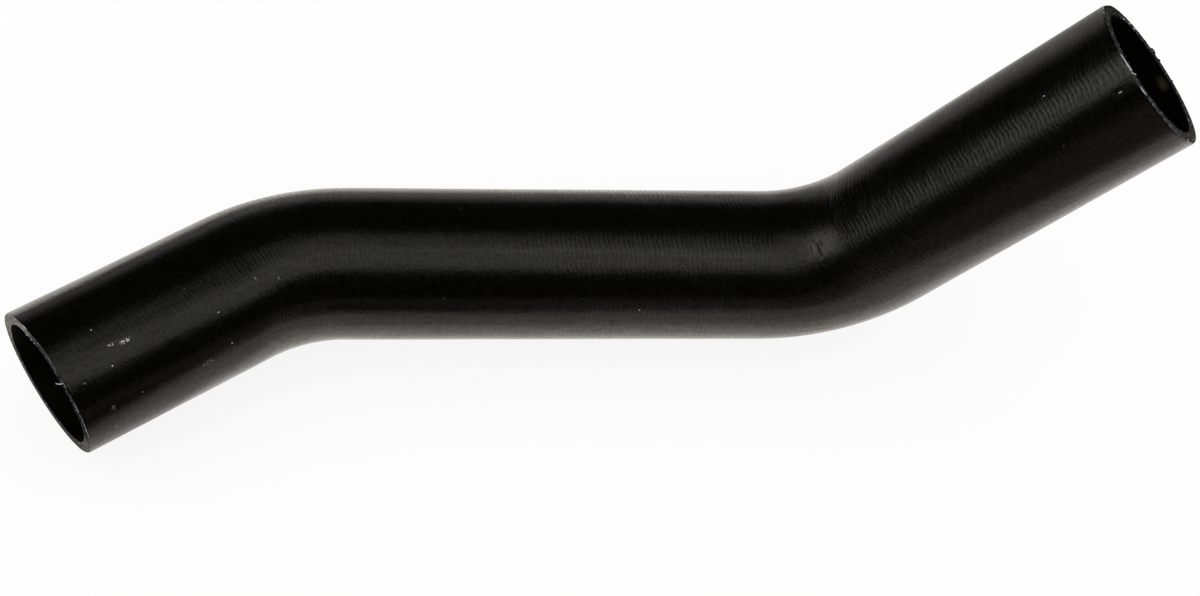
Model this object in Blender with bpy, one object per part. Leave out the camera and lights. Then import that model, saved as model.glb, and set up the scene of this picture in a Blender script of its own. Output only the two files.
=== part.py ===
"""Fuel filler hose for a car: a moulded rubber tube with a bend in each of two planes.

The hose joins the filler neck to the tank. It is one piece of black rubber, cured on a
shaped mandrel: a straight middle run, a shallow bend into the tank leg and a deeper bend,
square to the first, into the neck leg. Both ends are cut off by hand, a little out of square.

Units are metres and +Z is up. The hose lies as it comes to rest on a table: the middle run
and the tank leg lie flat, and the neck leg rises from the table. The origin is on the table,
under the centre of the hose.
"""
import math

import bmesh
import bpy
from mathutils import Matrix, Vector

# Section of the tube
BORE_DIAMETER = 0.0508
WALL_THICKNESS = 0.0048

# Centreline, from the tank end to the neck end
TANK_LEG_LENGTH = 0.0810
TANK_BEND_RADIUS = 0.0790
TANK_BEND_ANGLE = math.radians(32.4)
MIDDLE_RUN_LENGTH = 0.1670
NECK_BEND_RADIUS = 0.0595
NECK_BEND_ANGLE = math.radians(51.4)
NECK_LEG_LENGTH = 0.1260

# The plane of the neck bend is turned this far out of the plane of the tank bend
TURN_BETWEEN_BENDS = math.radians(90.0)

# Hand cuts: how far each one leans towards the inside of its bend, and towards the bend's axis
TANK_CUT_INWARD = math.radians(2.6)
TANK_CUT_SIDEWAYS = math.radians(-1.3)
NECK_CUT_INWARD = math.radians(-4.8)
NECK_CUT_SIDEWAYS = math.radians(-5.7)

# Length of the uncut blank beyond each finished end
BLANK_ALLOWANCE = 0.0120

# Fineness of the facets: flats round the tube, and the turn from one ring of a bend to the next
SIDES = 64
BEND_STEP = math.radians(2.9)

WELD_DISTANCE = 0.00001
SHARP_ANGLE = math.radians(30.0)

HOSE_NAME = "filler_hose"
RUBBER_COLOUR = (0.012, 0.012, 0.011, 1.0)
RUBBER_ROUGHNESS = 0.42

OUTER_DIAMETER = BORE_DIAMETER + 2.0 * WALL_THICKNESS


def clear_scene():
    for leftover in list(bpy.data.objects):
        bpy.data.objects.remove(leftover, do_unlink=True)


def make_collection(name):
    collection = bpy.data.collections.new(name)
    bpy.context.scene.collection.children.link(collection)
    return collection


def rubber_material():
    rubber = bpy.data.materials.new("black_rubber")
    rubber.use_nodes = True
    shader = rubber.node_tree.nodes["Principled BSDF"]
    shader.inputs["Base Color"].default_value = RUBBER_COLOUR
    shader.inputs["Roughness"].default_value = RUBBER_ROUGHNESS
    shader.inputs["Metallic"].default_value = 0.0
    return rubber


class Leg:
    """Half of the centreline: from the middle of the run, round one bend, to one end."""

    def __init__(self, along, inside, bend_radius, bend_angle, length):
        self.along = along
        self.bend_axis = along.cross(inside)
        bend_start = along * (MIDDLE_RUN_LENGTH / 2.0)
        bend_centre = bend_start + inside * bend_radius
        steps = max(1, round(bend_angle / BEND_STEP))
        self.points = []
        for step in range(steps + 1):
            turned = Matrix.Rotation(bend_angle * step / steps, 3, self.bend_axis)
            self.points.append(bend_centre + turned @ (bend_start - bend_centre))
        self.outward = turned @ along
        self.inward = turned @ inside
        self.end = self.points[-1] + self.outward * length

    def cut_direction(self, inward_lean, sideways_lean):
        """The way that the cut face looks: out of the end, with its two small leans."""
        leaned = self.outward + self.inward * math.tan(inward_lean)
        leaned += self.bend_axis * math.tan(sideways_lean)
        return leaned.normalized()


def centreline(tank_leg, neck_leg, overshoot):
    """All the points from end to end, each end carried on by the overshoot."""
    tank_end = tank_leg.end + tank_leg.outward * overshoot
    neck_end = neck_leg.end + neck_leg.outward * overshoot
    return [tank_end] + tank_leg.points[::-1] + neck_leg.points + [neck_end]


def tube_mesh(name, points, diameter):
    """A solid round bar along the points, with its end caps welded on."""
    curve = bpy.data.curves.new(name, "CURVE")
    curve.dimensions = "3D"
    curve.bevel_depth = diameter / 2.0
    curve.bevel_resolution = SIDES // 2 - 2
    curve.use_fill_caps = True
    spline = curve.splines.new("POLY")
    spline.points.add(len(points) - 1)
    for spline_point, point in zip(spline.points, points):
        spline_point.co = (*point, 1.0)
    guide = bpy.data.objects.new(name + "_guide", curve)
    bpy.context.scene.collection.objects.link(guide)
    mesh = bpy.data.meshes.new_from_object(guide.evaluated_get(bpy.context.evaluated_depsgraph_get()))
    mesh.name = name
    bpy.data.objects.remove(guide, do_unlink=True)
    bpy.data.curves.remove(curve)
    shape = bmesh.new()
    shape.from_mesh(mesh)
    bmesh.ops.remove_doubles(shape, verts=shape.verts, dist=WELD_DISTANCE)
    bmesh.ops.recalc_face_normals(shape, faces=shape.faces)
    shape.to_mesh(mesh)
    shape.free()
    return mesh


def add_object(name, mesh, collection, parent):
    piece = bpy.data.objects.new(name, mesh)
    collection.objects.link(piece)
    piece.parent = parent
    return piece


def add_cutter(name, mesh, collection, parent):
    cutter = add_object(name, mesh, collection, parent)
    cutter.hide_render = True
    cutter.display_type = "WIRE"
    return cutter


def cut_block_mesh(name, leg, facing):
    """A block with one face on the finished end's plane, which takes all that lies beyond it."""
    size = 2.0 * OUTER_DIAMETER
    placed = Matrix.Translation(leg.end) @ facing.to_track_quat("Z", "Y").to_matrix().to_4x4()
    placed = placed @ Matrix.Translation((0.0, 0.0, size / 2.0))
    mesh = bpy.data.meshes.new(name)
    shape = bmesh.new()
    bmesh.ops.create_cube(shape, size=size, matrix=placed)
    shape.to_mesh(mesh)
    shape.free()
    return mesh


def subtract(piece, cutter):
    cut = piece.modifiers.new(cutter.name, "BOOLEAN")
    cut.operation = "DIFFERENCE"
    cut.solver = "EXACT"
    cut.object = cutter


def lay_on_table(piece, carrier):
    """Moves the carrier so that the piece touches the table, centred over the origin."""
    bpy.context.view_layer.update()
    shown = piece.evaluated_get(bpy.context.evaluated_depsgraph_get())
    corners = [shown.matrix_world @ Vector(corner) for corner in shown.bound_box]
    lowest = Vector([min(corner[axis] for corner in corners) for axis in range(3)])
    highest = Vector([max(corner[axis] for corner in corners) for axis in range(3)])
    centre = (lowest + highest) / 2.0
    carrier.location = (-centre.x, -centre.y, -lowest.z)
    bpy.context.view_layer.update()


def build_hose():
    hose_parts = make_collection("fuel_filler_hose")
    cutters = make_collection("cutters")

    resting_place = bpy.data.objects.new("resting_place", None)
    hose_parts.objects.link(resting_place)

    tank_inside = Vector((0.0, -1.0, 0.0))
    neck_inside = Vector((0.0, -math.cos(TURN_BETWEEN_BENDS), math.sin(TURN_BETWEEN_BENDS)))
    tank_leg = Leg(Vector((-1.0, 0.0, 0.0)), tank_inside,
                   TANK_BEND_RADIUS, TANK_BEND_ANGLE, TANK_LEG_LENGTH)
    neck_leg = Leg(Vector((1.0, 0.0, 0.0)), neck_inside,
                   NECK_BEND_RADIUS, NECK_BEND_ANGLE, NECK_LEG_LENGTH)

    # The blank is longer than the hose, and each end is cut back to its length
    blank = tube_mesh(HOSE_NAME, centreline(tank_leg, neck_leg, BLANK_ALLOWANCE), OUTER_DIAMETER)
    blank.materials.append(rubber_material())
    hose = add_object(HOSE_NAME, blank, hose_parts, resting_place)
    tank_cut = cut_block_mesh("tank_cut", tank_leg,
                              tank_leg.cut_direction(TANK_CUT_INWARD, TANK_CUT_SIDEWAYS))
    subtract(hose, add_cutter("tank_cut", tank_cut, cutters, resting_place))
    neck_cut = cut_block_mesh("neck_cut", neck_leg,
                              neck_leg.cut_direction(NECK_CUT_INWARD, NECK_CUT_SIDEWAYS))
    subtract(hose, add_cutter("neck_cut", neck_cut, cutters, resting_place))

    # The mandrel that forms the bore is longer than the blank, so both mouths open cleanly
    mandrel = tube_mesh("mandrel", centreline(tank_leg, neck_leg, 2.0 * BLANK_ALLOWANCE), BORE_DIAMETER)
    subtract(hose, add_cutter("mandrel", mandrel, cutters, resting_place))

    hose.data.shade_smooth()
    hose.data.set_sharp_from_angle(angle=SHARP_ANGLE)
    lay_on_table(hose, resting_place)


clear_scene()
build_hose()
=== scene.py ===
"""Looks of the fuel filler hose: a black rubber tube with two bends, lying on a white floor."""

import math

import bpy
from mathutils import Euler, Matrix, Vector, noise


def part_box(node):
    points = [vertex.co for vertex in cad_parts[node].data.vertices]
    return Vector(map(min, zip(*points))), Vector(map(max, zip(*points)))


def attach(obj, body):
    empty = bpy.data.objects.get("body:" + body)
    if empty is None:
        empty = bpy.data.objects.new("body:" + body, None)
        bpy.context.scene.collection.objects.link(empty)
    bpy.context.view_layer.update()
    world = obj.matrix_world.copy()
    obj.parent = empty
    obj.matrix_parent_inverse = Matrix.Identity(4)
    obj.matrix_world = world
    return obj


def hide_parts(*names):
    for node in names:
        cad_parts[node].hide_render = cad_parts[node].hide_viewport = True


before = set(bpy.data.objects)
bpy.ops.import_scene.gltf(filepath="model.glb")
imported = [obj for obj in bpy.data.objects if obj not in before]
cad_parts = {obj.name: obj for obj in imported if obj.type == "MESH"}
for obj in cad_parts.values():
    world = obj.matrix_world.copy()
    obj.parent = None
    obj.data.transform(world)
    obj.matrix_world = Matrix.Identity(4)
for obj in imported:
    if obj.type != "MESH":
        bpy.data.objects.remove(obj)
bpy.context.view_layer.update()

# The hose wall
# The real hose is one tube of black rubber, built up on a bent mandrel, wrapped tight in
# cloth tape for the cure and then stripped, so its skin keeps the fine marks of the tape.
# Both ends were cut by hand, which left the cut faces rough and their edges ragged.
HOSE_NODE = "filler_hose"
BODY = "root"
BORE_RADIUS = 0.0254
WALL = 0.0048
OUTER_RADIUS = BORE_RADIUS + WALL
TANK_LEG = 0.0810
TANK_BEND_RADIUS = 0.0790
TANK_BEND_ANGLE = math.radians(32.4)
MIDDLE_RUN = 0.1670
NECK_BEND_RADIUS = 0.0595
NECK_BEND_ANGLE = math.radians(51.4)
NECK_LEG = 0.1260

# Fineness of the faces, with closer rings at both rims
SIDES_ROUND = 180
SKIN_STEP = 0.0014
BORE_STEP = 0.0070
RIM_ZONE = 0.0020
RIM_STEP = 0.0005
RINGS_ACROSS_WALL = 6
MERGE_DISTANCE = 0.00001
SMOOTH_ANGLE = math.radians(35.0)

TANK_BEND_LENGTH = TANK_BEND_RADIUS * TANK_BEND_ANGLE
NECK_BEND_LENGTH = NECK_BEND_RADIUS * NECK_BEND_ANGLE
RUN_START = TANK_LEG + TANK_BEND_LENGTH
RUN_END = RUN_START + MIDDLE_RUN
NECK_LEG_START = RUN_END + NECK_BEND_LENGTH
HOSE_LENGTH = NECK_LEG_START + NECK_LEG

# Directions and bend centres, with the origin in the middle of the straight run
UP = Vector((0.0, 0.0, 1.0))
FRONT = Vector((0.0, -1.0, 0.0))
ALONG_RUN = Vector((1.0, 0.0, 0.0))
TANK_BEND_CENTRE = Vector((-MIDDLE_RUN / 2.0, -TANK_BEND_RADIUS, 0.0))
NECK_BEND_CENTRE = Vector((MIDDLE_RUN / 2.0, 0.0, NECK_BEND_RADIUS))


def section_at(length):
    """The round section at a length from the tank end: its centre, its way along, its top and its front."""
    if length < RUN_START:
        turned = min((RUN_START - length) / TANK_BEND_RADIUS, TANK_BEND_ANGLE)
        along = Vector((math.cos(turned), math.sin(turned), 0.0))
        front = Vector((math.sin(turned), -math.cos(turned), 0.0))
        centre = TANK_BEND_CENTRE - front * TANK_BEND_RADIUS + along * min(0.0, length - TANK_LEG)
        return centre, along, UP, front
    if length <= RUN_END:
        return ALONG_RUN * (length - RUN_START - MIDDLE_RUN / 2.0), ALONG_RUN, UP, FRONT
    turned = min((length - RUN_END) / NECK_BEND_RADIUS, NECK_BEND_ANGLE)
    along = Vector((math.cos(turned), 0.0, math.sin(turned)))
    top = Vector((-math.sin(turned), 0.0, math.cos(turned)))
    centre = NECK_BEND_CENTRE - top * NECK_BEND_RADIUS + along * max(0.0, length - NECK_LEG_START)
    return centre, along, top, FRONT


def length_at(point):
    """How far along the hose a point lies, from the tank end."""
    if point.x < -MIDDLE_RUN / 2.0:
        arm = point - TANK_BEND_CENTRE
        turned = math.atan2(-arm.x, arm.y)
        if turned <= TANK_BEND_ANGLE:
            return RUN_START - turned * TANK_BEND_RADIUS
        centre, along = section_at(TANK_LEG)[:2]
        return TANK_LEG + (point - centre).dot(along)
    if point.x <= MIDDLE_RUN / 2.0:
        return RUN_START + MIDDLE_RUN / 2.0 + point.x
    arm = point - NECK_BEND_CENTRE
    turned = math.atan2(arm.x, -arm.z)
    if turned <= NECK_BEND_ANGLE:
        return RUN_END + turned * NECK_BEND_RADIUS
    centre, along = section_at(NECK_LEG_START)[:2]
    return NECK_LEG_START + (point - centre).dot(along)


def pull(direction, length, step):
    """Extrudes the open rim along a straight leg, ring by ring."""
    rings = max(1, round(length / step))
    for _ in range(rings):
        bpy.ops.mesh.extrude_region_move(TRANSFORM_OT_translate={"value": direction * (length / rings)})


def swing(centre, axis, angle, radius, step):
    """Spins the open rim round a bend. With no window open, spin turns the other way, hence the sign."""
    steps = max(2, round(abs(angle) * radius / step))
    bpy.ops.mesh.spin(steps=steps, angle=-angle, center=centre, axis=axis)


def widen(centre, from_radius, to_radius, rings):
    """Extrudes the open rim across the cut face, ring by ring."""
    radius = from_radius
    for ring in range(1, rings + 1):
        wanted = from_radius + (to_radius - from_radius) * ring / rings
        bpy.ops.mesh.extrude_region_move()
        bpy.ops.transform.resize(value=(wanted / radius,) * 3, center_override=centre)
        radius = wanted


def select_faces(piece, wanted):
    """Selects the faces that the wanted function picks, and nothing else."""
    mesh = piece.data
    mesh.vertices.foreach_set("select", [False] * len(mesh.vertices))
    mesh.edges.foreach_set("select", [False] * len(mesh.edges))
    mesh.polygons.foreach_set("select", [wanted(face) for face in mesh.polygons])


tank_centre, tank_along, _, tank_front = section_at(0.0)
neck_centre, neck_along, neck_top, _ = section_at(HOSE_LENGTH)

bpy.ops.object.select_all(action="DESELECT")
bpy.ops.mesh.primitive_circle_add(
    vertices=SIDES_ROUND, radius=OUTER_RADIUS, location=tank_centre,
    rotation=tank_along.to_track_quat("Z", "Y").to_euler())
hose = bpy.context.object
hose.name = "hose_wall"
bpy.ops.object.transform_apply(location=True, rotation=True, scale=True)
bpy.ops.object.mode_set(mode="EDIT")
bpy.ops.mesh.select_mode(type="EDGE")
bpy.ops.mesh.select_all(action="SELECT")

# The skin, from the tank end to the neck end
pull(tank_along, RIM_ZONE, RIM_STEP)
pull(tank_along, TANK_LEG - RIM_ZONE, SKIN_STEP)
swing(TANK_BEND_CENTRE, UP, -TANK_BEND_ANGLE, TANK_BEND_RADIUS, SKIN_STEP)
pull(ALONG_RUN, MIDDLE_RUN, SKIN_STEP)
swing(NECK_BEND_CENTRE, FRONT, NECK_BEND_ANGLE, NECK_BEND_RADIUS, SKIN_STEP)
pull(neck_along, NECK_LEG - RIM_ZONE, SKIN_STEP)
pull(neck_along, RIM_ZONE, RIM_STEP)

# Across the neck's cut face, back through the bore, and out across the tank's cut face
widen(neck_centre, OUTER_RADIUS, BORE_RADIUS, RINGS_ACROSS_WALL)
pull(-neck_along, NECK_LEG, BORE_STEP)
swing(NECK_BEND_CENTRE, FRONT, -NECK_BEND_ANGLE, NECK_BEND_RADIUS, BORE_STEP)
pull(-ALONG_RUN, MIDDLE_RUN, BORE_STEP)
swing(TANK_BEND_CENTRE, UP, TANK_BEND_ANGLE, TANK_BEND_RADIUS, BORE_STEP)
pull(-tank_along, TANK_LEG, BORE_STEP)
widen(tank_centre, BORE_RADIUS, OUTER_RADIUS, RINGS_ACROSS_WALL)
bpy.ops.mesh.select_all(action="SELECT")
bpy.ops.mesh.remove_doubles(threshold=MERGE_DISTANCE)
bpy.ops.mesh.normals_make_consistent(inside=False)
bpy.ops.object.mode_set(mode="OBJECT")

# Finer faces at both rims and where the skin is creased at the inside of the neck bend
CREASE_LENGTH = 0.3245
CREASE_ANGLE = math.radians(29.0)
CREASE_PATCH = 0.0100
RIM_CUTS = 1
CREASE_CUTS = 2


def in_rim_zone(face):
    """True for a face of the skin or the cut close to either end."""
    length = length_at(face.center)
    centre = section_at(length)[0]
    outside = (face.center - centre).length > BORE_RADIUS + MERGE_DISTANCE
    return outside and not RIM_ZONE < length < HOSE_LENGTH - RIM_ZONE


def in_crease_patch(face):
    """True for a face of the skin round the crease inside the neck bend."""
    length = length_at(face.center)
    if abs(length - CREASE_LENGTH) > CREASE_PATCH:
        return False
    centre, _, top, front = section_at(length)
    arm = face.center - centre
    angle = math.atan2(arm.dot(front), arm.dot(top))
    outside = arm.length > OUTER_RADIUS - WALL / 2.0
    return outside and abs(angle - CREASE_ANGLE) * OUTER_RADIUS < CREASE_PATCH


for wanted, cuts in ((in_rim_zone, RIM_CUTS), (in_crease_patch, CREASE_CUTS)):
    select_faces(hose, wanted)
    bpy.ops.object.mode_set(mode="EDIT")
    bpy.ops.mesh.select_mode(type="FACE")
    bpy.ops.mesh.subdivide(number_cuts=cuts)
    bpy.ops.object.mode_set(mode="OBJECT")

# Leans of the two hand cuts, and how far the skin takes part in each lean
TANK_LEAN_INWARD = math.radians(2.6)
TANK_LEAN_SIDEWAYS = math.radians(-1.3)
NECK_LEAN_INWARD = math.radians(-4.8)
NECK_LEAN_SIDEWAYS = math.radians(-5.7)
LEAN_REACH = 0.0120

# Small unevenness in metres: waves of the skin from the wrapping, rounded and ragged rims, torn
# cut faces, a faint raised line along the run, and the bite in the neck's rim
SLOW_WAVE = 0.00006
SLOW_WAVE_PITCH = 0.0260
FAST_WAVE = 0.00003
FAST_WAVE_PITCH = 0.0090
RIM_ROUNDING = 0.00022
RIM_RAGGED = 0.00030
RIM_RAGGED_PITCH = 0.0016
RIM_REACH = 0.0007
CUT_ROUGHNESS = 0.00028
CUT_GRAIN = 0.0011
TEAR_PITCH = CUT_GRAIN * 3.1
TEAR_STRETCH = 0.35
FLASH_ANGLE = math.radians(20.0)
FLASH_START = 0.1750
FLASH_END = 0.2320
FLASH_HEIGHT = 0.00003
FLASH_WIDTH = 0.0011
BITE_ANGLE = math.radians(-47.0)
BITE_DEPTH = 0.0011
BITE_HALF_ANGLE = 0.35

# Dents and creases: length from the tank end, angle from the top, half length, half width, depth
DENTS = (
    (CREASE_LENGTH, math.radians(29.5), 0.0009, 0.0050, 0.00034),
    (CREASE_LENGTH - 0.0016, math.radians(22.0), 0.0009, 0.0024, 0.00014),
    (CREASE_LENGTH + 0.0028, math.radians(25.0), 0.0009, 0.0030, 0.00014),
    (CREASE_LENGTH - 0.0042, math.radians(28.0), 0.0010, 0.0028, 0.00013),
    (CREASE_LENGTH - 0.0080, math.radians(33.0), 0.0010, 0.0024, 0.00010),
    (0.2890, math.radians(31.0), 0.0016, 0.0016, 0.00007),
    (0.4665, math.radians(40.0), 0.0017, 0.0014, 0.00018),
    (0.4180, math.radians(6.0), 0.0014, 0.0014, 0.00012),
)


def hill(distance, reach):
    """1 at no distance, falling smoothly to 0 at the reach."""
    share = min(1.0, abs(distance) / reach)
    return (1.0 - share * share) ** 2


def wave(angle, length, pitch, seed):
    """A smooth random wave over the skin, between -1 and 1."""
    return noise.noise(Vector((
        math.cos(angle) * OUTER_RADIUS / pitch + seed,
        math.sin(angle) * OUTER_RADIUS / pitch,
        length / pitch)))


def lean_shift(length, arm):
    """How far a point near an end moves along the hose, so that the end has the lean of its cut."""
    if length < LEAN_REACH:
        reach = 1.0 - max(0.0, length) / LEAN_REACH
        return reach * (arm.dot(tank_front) * math.tan(TANK_LEAN_INWARD)
                        + arm.dot(UP) * math.tan(TANK_LEAN_SIDEWAYS))
    if length > HOSE_LENGTH - LEAN_REACH:
        reach = 1.0 - max(0.0, HOSE_LENGTH - length) / LEAN_REACH
        return -reach * (arm.dot(neck_top) * math.tan(NECK_LEAN_INWARD)
                         + arm.dot(FRONT) * math.tan(NECK_LEAN_SIDEWAYS))
    return 0.0


def skin_height(length, angle):
    """How far the skin stands out from a true round, in metres."""
    height = SLOW_WAVE * (wave(angle, length, SLOW_WAVE_PITCH, seed=3.0) - 1.0)
    height += FAST_WAVE * (wave(angle, length, FAST_WAVE_PITCH, seed=9.0) - 1.0)
    if FLASH_START < length < FLASH_END:
        height += FLASH_HEIGHT * hill((angle - FLASH_ANGLE) * OUTER_RADIUS, FLASH_WIDTH)
    for dent_length, dent_angle, half_length, half_width, depth in DENTS:
        across = (length - dent_length) / half_length
        round_it = (angle - dent_angle) * OUTER_RADIUS / half_width
        height -= depth * hill(math.hypot(across, round_it), 1.0)
    return height


def shaped_point(length, angle, radius):
    """Where a point of the finished wall lies, from its place in the plain tube."""
    centre, along, top, front = section_at(length)
    way_out = top * math.cos(angle) + front * math.sin(angle)
    from_end = min(max(0.0, length), max(0.0, HOSE_LENGTH - length))
    from_edge = math.hypot(from_end, OUTER_RADIUS - radius)
    moved = 0.0
    if radius > OUTER_RADIUS - MERGE_DISTANCE:
        radius += skin_height(length, angle)
    if from_edge < RIM_REACH:
        ragged = 0.5 + 0.5 * wave(angle, length, RIM_RAGGED_PITCH, seed=5.0)
        radius -= (RIM_ROUNDING + RIM_RAGGED * ragged) * hill(from_edge, RIM_REACH)
    if from_end < MERGE_DISTANCE:
        rough = 0.5 + 0.5 * wave(angle, radius, CUT_GRAIN, seed=7.0)
        rough += 0.5 + 0.5 * wave(angle, radius * TEAR_STRETCH, TEAR_PITCH, seed=11.0)
        moved = CUT_ROUGHNESS * rough
        if length > HOSE_LENGTH / 2.0:
            moved = -moved
    shift = lean_shift(length, way_out * radius)
    if length > HOSE_LENGTH - LEAN_REACH:
        bite = hill(angle - BITE_ANGLE, BITE_HALF_ANGLE) * hill(HOSE_LENGTH - length, LEAN_REACH)
        moved -= BITE_DEPTH * bite * (radius - BORE_RADIUS) / WALL
    return centre + way_out * radius + along * (shift + moved)


# Points that the finer faces added lie inside the true round by no more than this
CHORD_LOSS = 0.00003

# Each point's place in the plain tube, which also gives the UV map: round and along it, in metres
mesh = hose.data
places = []
for vertex in mesh.vertices:
    length = length_at(vertex.co)
    centre, _, top, front = section_at(length)
    arm = vertex.co - centre
    radius = arm.length
    if radius > OUTER_RADIUS - CHORD_LOSS:
        radius = OUTER_RADIUS
    places.append((length, math.atan2(arm.dot(front), arm.dot(top)), radius))

# The plain leaned tube has the CAD solid's size, so its box gives the hose's place
low, high = Vector((1.0, 1.0, 1.0)), Vector((-1.0, -1.0, -1.0))
for length, angle, radius in places:
    centre, along, top, front = section_at(length)
    arm = (top * math.cos(angle) + front * math.sin(angle)) * radius
    spot = centre + arm + along * lean_shift(length, arm)
    low = Vector(map(min, low, spot))
    high = Vector(map(max, high, spot))
cad_low, cad_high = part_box(HOSE_NODE)
TO_ITS_PLACE = (cad_low + cad_high) / 2.0 - (low + high) / 2.0
TO_ITS_PLACE.z = cad_low.z - low.z

for vertex, place in zip(mesh.vertices, places):
    vertex.co = shaped_point(*place) + TO_ITS_PLACE

SKIN, BORE, CUT = 0, 1, 2
uv_layer = mesh.uv_layers.new(name="round_and_along")
for face in mesh.polygons:
    corners = [places[mesh.loops[loop].vertex_index] for loop in face.loop_indices]
    lengths, angles, radii = zip(*corners)
    crosses_seam = max(angles) - min(angles) > math.pi
    mean_length = sum(lengths) / len(corners)
    mean_radius = sum(radii) / len(corners)
    at_end = min(mean_length, HOSE_LENGTH - mean_length) < MERGE_DISTANCE
    face.material_index = CUT if at_end else SKIN if mean_radius > BORE_RADIUS + WALL / 2.0 else BORE
    for loop, (length, angle, radius) in zip(face.loop_indices, corners):
        if crosses_seam and angle < 0.0:
            angle += 2.0 * math.pi
        along_uv = length
        if at_end:
            depth = OUTER_RADIUS - radius
            along_uv = -depth if mean_length < HOSE_LENGTH / 2.0 else HOSE_LENGTH + depth
        uv_layer.data[loop].uv = (angle * OUTER_RADIUS, along_uv)


def add_node(tree, kind, sources=None, **settings):
    """Adds a node with its settings, and gives its inputs values or other nodes' outputs."""
    made = tree.nodes.new(kind)
    for name, value in settings.items():
        setattr(made, name, value)
    for name, source in (sources or {}).items():
        if isinstance(source, bpy.types.NodeSocket):
            tree.links.new(source, made.inputs[name])
        else:
            made.inputs[name].default_value = source
    return made


def maths(tree, operation, *values, clamp=False):
    """A Math node's output."""
    sources = dict(enumerate(values))
    return add_node(tree, "ShaderNodeMath", sources, operation=operation, use_clamp=clamp).outputs[0]


def vector_maths(tree, operation, *values):
    """A Vector Math node's outputs."""
    return add_node(tree, "ShaderNodeVectorMath", dict(enumerate(values)), operation=operation).outputs


def fade(tree, value, start, end, low=0.0, high=1.0):
    """A value carried smoothly from one range to another."""
    sources = {"Value": value, "From Min": start, "From Max": end, "To Min": low, "To Max": high}
    return add_node(tree, "ShaderNodeMapRange", sources, interpolation_type="SMOOTHSTEP").outputs["Result"]


def mixed(tree, share, first, second):
    """Two colours mixed by a share."""
    sources = {0: share, 6: first, 7: second}
    return add_node(tree, "ShaderNodeMix", sources, data_type="RGBA").outputs[2]


def band(tree, value, first, second):
    """Two fades of one value multiplied, for a band that comes in at one edge and goes out at the other."""
    return maths(tree, "MULTIPLY", fade(tree, value, *first), fade(tree, value, *second))


def noise_of(tree, place, scale, detail):
    """A noise texture's value."""
    sources = {"Vector": place, "Scale": scale, "Detail": detail}
    return add_node(tree, "ShaderNodeTexNoise", sources).outputs[0]


def stretched(tree, place, scale):
    """A place with each of its axes scaled by its own number."""
    return add_node(tree, "ShaderNodeMapping", {"Vector": place, "Scale": scale}).outputs[0]


def new_effect(name, inputs, outputs):
    """A node group for one surface effect, with its inputs, their usual values and its outputs."""
    group = bpy.data.node_groups.new(name, "ShaderNodeTree")
    for label, kind, value in inputs:
        socket = group.interface.new_socket(label, in_out="INPUT", socket_type=kind)
        if value is not None:
            socket.default_value = value
    for label, kind in outputs:
        group.interface.new_socket(label, in_out="OUTPUT", socket_type=kind)
    return group, group.nodes.new("NodeGroupInput").outputs, group.nodes.new("NodeGroupOutput").inputs


def place_effect(tree, group, sources):
    """An effect's outputs in a material, where it has its own values."""
    return add_node(tree, "ShaderNodeGroup", sources, node_tree=group).outputs


# The strokes' pattern: how finely and how far they wander and jitter, and where they break off
STROKE_WANDER_SCALE = 90.0
STROKE_JITTER_SCALE = 330.0
STROKE_JITTER = 4.5
STROKE_WEAVE = 1.1
STROKE_SHARPNESS = 1.6
STROKE_BREAKS_SCALE = (150.0, 300.0, 1.0)
STROKE_BREAKS = (0.26, 0.54)


def tape_marks_effect():
    """Height of the strokes that the wrapping tape pressed in, slanted across the hose."""
    inputs = (("Place", "NodeSocketVector", None), ("Pitch", "NodeSocketFloat", 0.0022),
              ("Wander", "NodeSocketFloat", 3.0), ("Weave", "NodeSocketFloat", 0.009))
    group, given, result = new_effect("tape_marks", inputs, (("Height", "NodeSocketFloat"),))
    split = add_node(group, "ShaderNodeSeparateXYZ", {0: given["Place"]}).outputs
    wander = noise_of(group, given["Place"], STROKE_WANDER_SCALE, 2.0)
    breaks = noise_of(group, stretched(group, given["Place"], STROKE_BREAKS_SCALE), 1.0, 1.0)
    turns = maths(group, "DIVIDE", split["Y"], given["Pitch"])
    phase = maths(group, "MULTIPLY", turns, 2.0 * math.pi)
    bend = maths(group, "MULTIPLY", wander, maths(group, "MULTIPLY", given["Wander"], 2.0))
    weave = maths(group, "MULTIPLY", maths(group, "DIVIDE", split["X"], given["Weave"]), 2.0 * math.pi)
    weave = maths(group, "MULTIPLY", maths(group, "SINE", maths(group, "ADD", weave, bend)), STROKE_WEAVE)
    jitter = noise_of(group, given["Place"], STROKE_JITTER_SCALE, 2.0)
    bend = maths(group, "MULTIPLY_ADD", jitter, STROKE_JITTER, bend)
    stroke = maths(group, "SINE", maths(group, "ADD", maths(group, "ADD", phase, bend), weave))
    ridge = maths(group, "POWER", maths(group, "MULTIPLY_ADD", stroke, 0.5, 0.5), STROKE_SHARPNESS)
    height = maths(group, "MULTIPLY", ridge, fade(group, breaks, *STROKE_BREAKS))
    group.links.new(height, result["Height"])
    return group


def fine_grain_effect():
    """Height of a fine irregular grain of a given size in metres."""
    inputs = (("Place", "NodeSocketVector", None), ("Size", "NodeSocketFloat", 0.0005))
    group, given, result = new_effect("fine_grain", inputs, (("Height", "NodeSocketFloat"),))
    scale = maths(group, "DIVIDE", 1.0, given["Size"])
    group.links.new(noise_of(group, given["Place"], scale, 3.0), result["Height"])
    return group


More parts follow.
